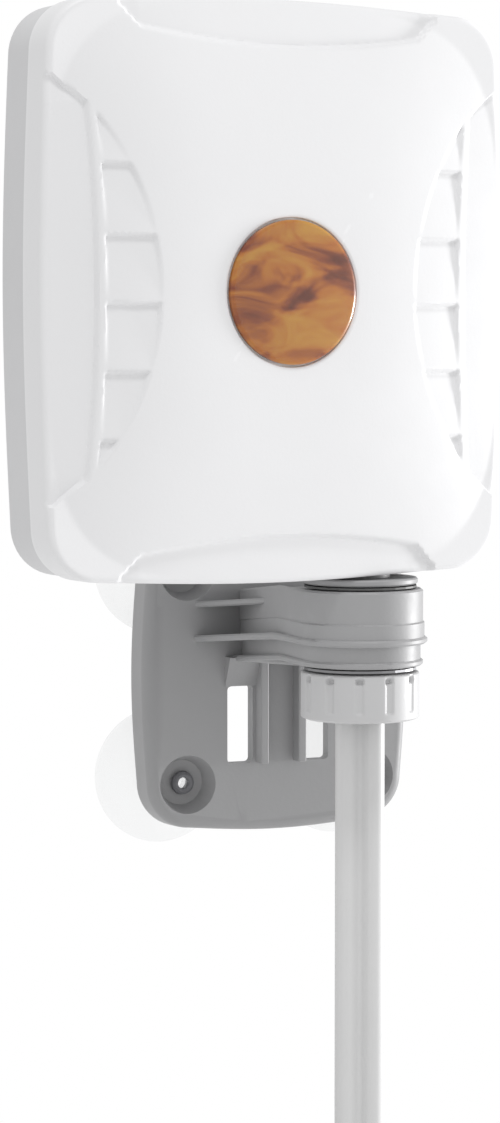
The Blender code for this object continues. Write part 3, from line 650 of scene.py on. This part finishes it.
def make_badge():
    """The round print carrier and the clear dome over it."""
    floor = FACE_Y + BADGE_SINK - 0.3 * MM
    base = [(0, 0), (BADGE_R - 0.1 * MM, 0), (BADGE_R, 0.1 * MM), (BADGE_R, 0.9 * MM),
            (BADGE_R - 0.3 * MM, 1.1 * MM), (BADGE_R - 0.7 * MM, 1.2 * MM), (0, 1.2 * MM)]
    disc = turned("badge_disc", base, (PANEL_X, floor, PANEL_Z), (0, -1, 0), 128, TURN_PANEL)
    finish_as(disc, "badge_amber")
    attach(disc, "head")
    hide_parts("badge_base")
    lens_r = BADGE_R - 0.6 * MM
    lens_low, lens_rise = 0.2 * MM, 1.1 * MM
    dome = [(0, 0), (lens_r, 0), (lens_r, lens_low)]
    for i in range(1, 14):
        a = math.pi / 2 * i / 14
        dome.append((lens_r * math.cos(a), lens_low + lens_rise * math.sin(a)))
    dome.append((0, lens_low + lens_rise))
    lens = turned("badge_lens", dome, (PANEL_X, floor - 1.5 * MM, PANEL_Z), (0, -1, 0), 128, TURN_PANEL)
    finish_as(lens, "clear_lens")
    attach(lens, "head")
    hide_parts("badge_dome")


def make_stem():
    """The hollow swivel stem: a grooved shank, the collar under the panel and the flange inside it."""
    edge = 0.3 * MM
    profile = [
        (STEM_R, STEM_LOW + 0.4 * MM), (STEM_R, 13.3 * MM), (GROOVE_R, 13.3 * MM), (GROOVE_R, 15.1 * MM),
        (STEM_R, 15.1 * MM), (STEM_R, COLLAR_LOW), (COLLAR_R - edge, COLLAR_LOW),
        (COLLAR_R, COLLAR_LOW + edge), (COLLAR_R, COLLAR_TOP - edge), (COLLAR_R - edge, COLLAR_TOP),
        (6.0 * MM, COLLAR_TOP), (6.0 * MM, FLANGE_LOW), (FLANGE_R, FLANGE_LOW), (FLANGE_R, FLANGE_TOP),
        (4.8 * MM, FLANGE_TOP), (4.8 * MM, 19.5 * MM), (6.9 * MM, 16.5 * MM), (6.9 * MM, STEM_LOW),
        (8.6 * MM, STEM_LOW),
    ]
    stem = turned("swivel_stem", profile, (SWIVEL.x, SWIVEL.y, 0))
    # Painted shade: the stem takes the darker bracket grey instead of its own housing grey, for the shade
    # under the panel.
    finish_as(stem, "bracket_grey")
    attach(stem, "head")
    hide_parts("stem")


# ---------------------------------------------------------------- bracket


def arm_layer(name, radius, root_w, low, high, lip):
    """One storey of the arm: round about the boss, flaring to the plate, and sloping down to it."""
    drop = 3.4 * MM
    root_y = PLATE_FRONT + 1.5 * MM
    slope_y = SWIVEL.y + 13.2 * MM
    points = []
    for i in range(49):
        a = math.pi + math.pi * i / 48
        points.append((radius * math.cos(a), SWIVEL.y + radius * math.sin(a)))
    right = []
    for i in range(1, 21):
        t = i / 20
        right.append((radius + (root_w - radius) * t ** 2, SWIVEL.y + (root_y - SWIVEL.y) * t))
    points += right + [(-x, y) for x, y in reversed(right)]
    rings = []
    for z, inward in ((low, lip), (low + lip, 0), (high - lip, 0), (high, lip)):
        ring = []
        for x, y in points:
            slope = drop * max(0, (y - slope_y) / (root_y - slope_y))
            away = math.hypot(x, min(0, y - SWIVEL.y)) or 1
            ring.append((x * (1 - inward / away), y + (inward if y < SWIVEL.y else 0), z - slope))
        rings.append(ring)
    bm = bmesh.new()
    loft(bm, rings)
    return new_object(name, bm)


def lintel(side):
    """The wedge over a strap slot: proud of the plate at its top, flush at its bottom."""
    inner, outer = side * 4.6 * MM, side * 12.4 * MM
    low = (min(inner, outer), PLATE_FRONT - 3.2 * MM, SLOT_TOP - 0.2 * MM)
    wedge = block("lintel", low, (max(inner, outer), PLATE_FRONT + MM, 4.4 * MM))
    for vert in wedge.data.vertices:
        if vert.co.y < PLATE_FRONT and vert.co.z < 0:
            vert.co.y = PLATE_FRONT - 0.1 * MM
    return wedge


def plate_shell():
    """The plate: a shallow tray, open at the wall, with a rounded front edge."""
    def ring_at(inset, y):
        shape = outline(PLATE_W / 2 - inset, PLATE_H / 2 - inset, PLATE_R - inset, 1.2 * MM)
        return [(x, y, z) for x, z in shape]

    edge, lip = 2.2 * MM, 0.3 * MM
    rings = [ring_at(PLATE_WALL, PLATE_FRONT + PLATE_WALL), ring_at(PLATE_WALL, PLATE_BACK),
             ring_at(lip, PLATE_BACK), ring_at(0, PLATE_BACK - lip)]
    for k in range(8):
        a = math.pi / 2 * k / 7
        rings.append(ring_at(lip + edge * (1 - math.cos(a)), PLATE_FRONT + edge * (1 - math.sin(a))))
    bm = bmesh.new()
    loft(bm, rings)
    return new_object("bracket_body", bm)


def make_bracket():
    """Plate, cup pads, ribs, lintels and arm in one moulding, with its wells, slots and bore cut."""
    plate = plate_shell()
    corners = [(sx * CUP_X, sz * CUP_Z) for sx in (-1, 1) for sz in (-1, 1)]
    joined = [plug("pad", 7.6 * MM, 6.5 * MM, (x, PLATE_BACK - 0.6 * MM, z), (0, -1, 0), 48)
              for x, z in corners]
    for side in (-1, 1):
        x = side * 4.4 * MM
        low = (x - 0.9 * MM, PLATE_FRONT - 3.6 * MM, SLOT_LOW)
        joined.append(block("rib", low, (x + 0.9 * MM, PLATE_FRONT + MM, 5 * MM), 0.3 * MM))
        joined.append(lintel(side))
    joined += [arm_layer(*storey) for storey in ARM_STOREYS]
    combine(plate, joined, "UNION")

    cutters = []
    well = [(0, 0), (4.9 * MM, 0), (6.4 * MM, 4.6 * MM), (6.9 * MM, 5.6 * MM), (0, 5.6 * MM)]
    for x, z in corners:
        cutters.append(turned("well", well, (x, PLATE_FRONT + 4.6 * MM, z), (0, -1, 0), 56))
        cutters.append(plug("hole", 2.1 * MM, 9 * MM, (x, PLATE_BACK + MM, z), (0, -1, 0), 32))
    for side in (-1, 1):
        low = (side * SLOT_X - SLOT_W / 2, PLATE_FRONT - 2 * MM, SLOT_LOW)
        high = (side * SLOT_X + SLOT_W / 2, PLATE_BACK + 2 * MM, SLOT_TOP)
        cutters.append(block("slot", low, high, 0.9 * MM))
    cutters.append(plug("bore", BORE_R, 30 * MM, (SWIVEL.x, SWIVEL.y, 0)))
    combine(plate, cutters, "DIFFERENCE")
    soften(plate, 0.25 * MM)
    finish_as(plate, "bracket_grey")
    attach(plate, "bracket")
    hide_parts("wall_bracket")


def make_cup(number, x, z):
    """A clear cup with the stalk and nub that snap through the plate, and a dark ring round the nub that is
    painted shade in the plate's hole.
    """
    profile = [(15, 0), (13.4, 0)]
    profile += [(13.4 - 9.4 * t, 3.4 * math.sin(math.pi / 2 * t)) for t in (0.2, 0.4, 0.6, 0.8, 1)]
    profile += [(0, 3.6), (0, 15.6), (1.0, 15.6), (1.1, 16.1), (1.8, 16.1), (2.4, 15.7), (2.5, 14.9),
                (1.7, 14.7), (1.7, 10.2), (5, 10.2), (5.4, 9.6), (5.5, 7.4)]
    profile += [(5.5 + 8.5 * t, 7.4 - 5.6 * math.sin(math.pi / 2 * t)) for t in (0.15, 0.35, 0.6, 0.8, 1)]
    profile += [(15, 1.0), (15.0, 0.4)]
    profile = [(r * MM, h * MM) for r, h in profile]
    cup = turned(f"cup_{number}", profile, (x, 0, z), (0, -1, 0), 72)
    finish_as(cup, "clear_cup")
    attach(cup, "bracket")
    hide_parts(f"suction_cup_{number}")
    # Painted shade: a dark rubber ring round the nub stands for the shade in the plate's hole.
    ring = [(1.15, 15.2), (1.3, 16.3), (1.9, 16.45), (2.45, 16.0), (2.6, 15.2), (2.2, 14.95)]
    ring = [(r * MM, h * MM) for r, h in ring]
    nub_shade_ring = turned(f"cup_nub_shade_ring_{number}", ring, (x, 0, z), (0, -1, 0), 48)
    finish_as(nub_shade_ring, "grommet_rubber")
    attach(nub_shade_ring, "bracket")


def make_nut():
    """The clamping nut: round flutes that end above a plain rim, with a deeper notch near the top."""
    steps = 360
    pitch = 2 * math.pi / FLUTES
    angles = [2 * math.pi * i / steps for i in range(steps)]

    def ring_of(radii, z):
        return [(SWIVEL.x + r * math.cos(a), SWIVEL.y + r * math.sin(a), z) for r, a in zip(radii, angles)]

    def plain(r, z):
        return ring_of([r] * steps, z)

    def wall(z, shrink=0.0):
        above = z - NUT_LOW
        below = NUT_TOP - z
        open_up = smoothstep((above - 1.7 * MM) / (0.5 * MM)) * smoothstep((below - 0.2 * MM) / (0.4 * MM))
        notch = smoothstep((2.0 * MM - below) / (0.3 * MM)) * smoothstep((below - 0.7 * MM) / (0.3 * MM))
        deep = (FLUTE_DEEP + 0.7 * MM * notch) * open_up
        radii = []
        for a in angles:
            off = (a - FLUTE_PHASE + pitch / 2) % pitch - pitch / 2
            groove = max(0.0, 1 - abs(off) / math.radians(5.2))
            radii.append(NUT_R - shrink - deep * smoothstep(groove * 1.6))
        return ring_of(radii, z)

    floor = NUT_LOW + 1.8 * MM
    rings = [plain(NUT_HOLE_R, NUT_LOW), plain(NUT_R - 0.9 * MM, NUT_LOW),
             wall(NUT_LOW + 0.2 * MM, 0.35 * MM), wall(NUT_LOW + 0.5 * MM)]
    for k in range(1, 37):
        rings.append(wall(NUT_LOW + 0.5 * MM + (NUT_TOP - NUT_LOW - 0.9 * MM) * k / 36))
    rings += [wall(NUT_TOP - 0.15 * MM, 0.2 * MM), plain(NUT_R - 0.6 * MM, NUT_TOP), plain(BORE_R, NUT_TOP),
              plain(BORE_R, floor), plain(NUT_HOLE_R, floor)]
    bm = bmesh.new()
    made = [[bm.verts.new(p) for p in ring] for ring in rings]
    skin(bm, made + made[:1])
    nut = new_object("fluted_nut", bm, 40)
    finish_as(nut, "nut_white")
    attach(nut, "nut")
    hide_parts("clamp_nut")


# ---------------------------------------------------------------- twin lead


def smooth_path(points, per_span):
    """Points along a Catmull-Rom curve through the route's own points."""
    ends = [2 * points[0] - points[1]] + points + [2 * points[-1] - points[-2]]
    path = []
    for i in range(1, len(ends) - 2):
        a, b, c, d = ends[i - 1:i + 3]
        for k in range(per_span):
            t = k / per_span
            path.append(0.5 * (2 * b + (c - a) * t + (2 * a - 5 * b + 4 * c - d) * t ** 2
                               + (3 * b - a - 3 * c + d) * t ** 3))
    path.append(points[-1])
    return path


def winding(turn):
    """Radius and sideways place of a whole turn: layers of three, the first one half filled."""
    layer, place = divmod(turn + 1, 3)
    side = (place - 1) if layer % 2 == 0 else (1 - place)
    return COIL_OUTER - COIL_STEP * layer, side * COIL_SIDE


def coil_point(radius, y, angle):
    return COIL + Vector((radius * math.cos(angle), y, radius * math.sin(angle)))


def lead_path():
    """The lead's middle line, and how many of its points come before the coil."""
    first = math.radians(COIL_START)
    route = [Vector((x * MM, SWIVEL.y, z * MM)) for x, z in LEAD_ROUTE]
    route.append(coil_point(COIL_OUTER, 0, first))
    path = smooth_path(route, 4)[:-1]
    straight = len(path)
    steps = round(COIL_TURNS * POINTS_A_TURN)
    for i in range(steps + 1):
        t = COIL_TURNS * i / steps
        whole = int(t)
        shift = smoothstep((t - whole - 0.8) / 0.2)
        r0, y0 = winding(whole)
        r1, y1 = winding(whole + 1)
        path.append(coil_point(r0 + (r1 - r0) * shift, y0 + (y1 - y0) * shift, first - 2 * math.pi * t))
    last = path[-1] - COIL
    leave = math.atan2(last.z, last.x)
    centre = COIL + Vector((last.x, 0, last.z)) * (1 - END_BEND / math.hypot(last.x, last.z))
    for k in range(1, 13):
        angle = leave * (1 - k / 12)
        bend = Vector((END_BEND * math.cos(angle), 0, END_BEND * math.sin(angle)))
        path.append(Vector((centre.x, SWIVEL.y, centre.z)) + bend)
    path.append(path[-1] - Vector((0, 0, 4 * MM)))
    return path, straight


def twin_section():
    """The lead's section as (across, through): two round jackets, open where the web joins them."""
    section = []
    for side in (1, -1):
        for k in range(11):
            a = math.radians(-158 + 316 * k / 10)
            across = LEAD_W / 2 - STRAND_R + STRAND_R * math.cos(a)
            section.append((side * across, side * STRAND_R * math.sin(a)))
    return section


def make_lead():
    """The twin lead: flat to the camera at its exit, and wound edge to edge in its coil."""
    path, straight = lead_path()
    section = twin_section()
    rings = []
    for i, place in enumerate(path):
        along = (path[min(i + 1, len(path) - 1)] - path[max(i - 1, 0)]).normalized()
        twist = smoothstep((-85 * MM - place.z) / (46 * MM)) if i < straight else 1.0
        turn = CAMERA_AZIMUTH + (-math.pi / 2 - CAMERA_AZIMUTH) * twist
        wide = Vector((math.cos(turn), math.sin(turn), 0))
        wide = (wide - along * wide.dot(along)).normalized()
        thin = along.cross(wide)
        rings.append([place + wide * u + thin * v for u, v in section])
    bm = bmesh.new()
    loft(bm, rings)
    lead = new_object("twin_lead", bm, 60)
    finish_as(lead, "lead_jacket")
    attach(lead, "head")
    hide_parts("lead_run", "lead_coil", "lead_end")


# ---------------------------------------------------------------- studio


def make_stage():
    """A pale round floor just under the coil."""
    low = cad_low.z - 2 * MM
    bpy.ops.mesh.primitive_circle_add(vertices=128, radius=0.5, fill_type="NGON", location=(0, 0, low))
    floor = bpy.context.object
    floor.name = "floor"
    _, _, shader = new_material("pale_floor")
    shader.inputs["Base Color"].default_value = (0.93, 0.93, 0.93, 1)
    shader.inputs["Roughness"].default_value = 0.9
    floor.data.materials.append(FINISHES["pale_floor"])


def area_light(name, place, aim, size, power):
    data = bpy.data.lights.new(name, "AREA")
    data.shape = "DISK"
    data.size = size
    data.energy = power
    light = bpy.data.objects.new(name, data)
    bpy.context.scene.collection.objects.link(light)
    light.location = place
    light.rotation_mode = "QUATERNION"
    light.rotation_quaternion = (Vector(aim) - Vector(place)).to_track_quat("-Z", "Y")


def make_lights():
    """A white backdrop that lights the scene less brightly than it looks, a key light and a side light."""
    world = bpy.data.worlds.new("studio")
    bpy.context.scene.world = world
    world.use_nodes = True
    nodes = world.node_tree.nodes
    links = world.node_tree.links
    light = nodes["Background"]
    light.inputs["Color"].default_value = (1, 1, 1, 1)
    light.inputs["Strength"].default_value = 0.77
    seen = nodes.new("ShaderNodeBackground")
    seen.inputs["Color"].default_value = (1, 1, 1, 1)
    seen.inputs["Strength"].default_value = 1.0
    rays = nodes.new("ShaderNodeLightPath")
    mixed = nodes.new("ShaderNodeMixShader")
    links.new(rays.outputs["Is Camera Ray"], mixed.inputs["Fac"])
    links.new(light.outputs["Background"], mixed.inputs[1])
    links.new(seen.outputs["Background"], mixed.inputs[2])
    links.new(mixed.outputs["Shader"], nodes["World Output"].inputs["Surface"])
    area_light("key", (0.05, -0.55, 1.15), (-0.03, -0.07, 0.08), 0.25, 3.7)
    area_light("side", (1.0, -0.10, -0.02), (0, -0.06, 0.0), 0.2, 8.0)
    bpy.context.scene.view_settings.view_transform = "Standard"
    bpy.context.scene.view_settings.look = "None"


make_camera()
make_finishes()
finish_frame()
make_front_cover()
make_case_back()
make_badge()
make_stem()
make_bracket()
for number, (side, rise) in enumerate([(1, 1), (-1, 1), (-1, -1), (1, -1)], 1):
    make_cup(number, side * CUP_X, rise * CUP_Z)
make_nut()
make_lead()
make_stage()
make_lights()
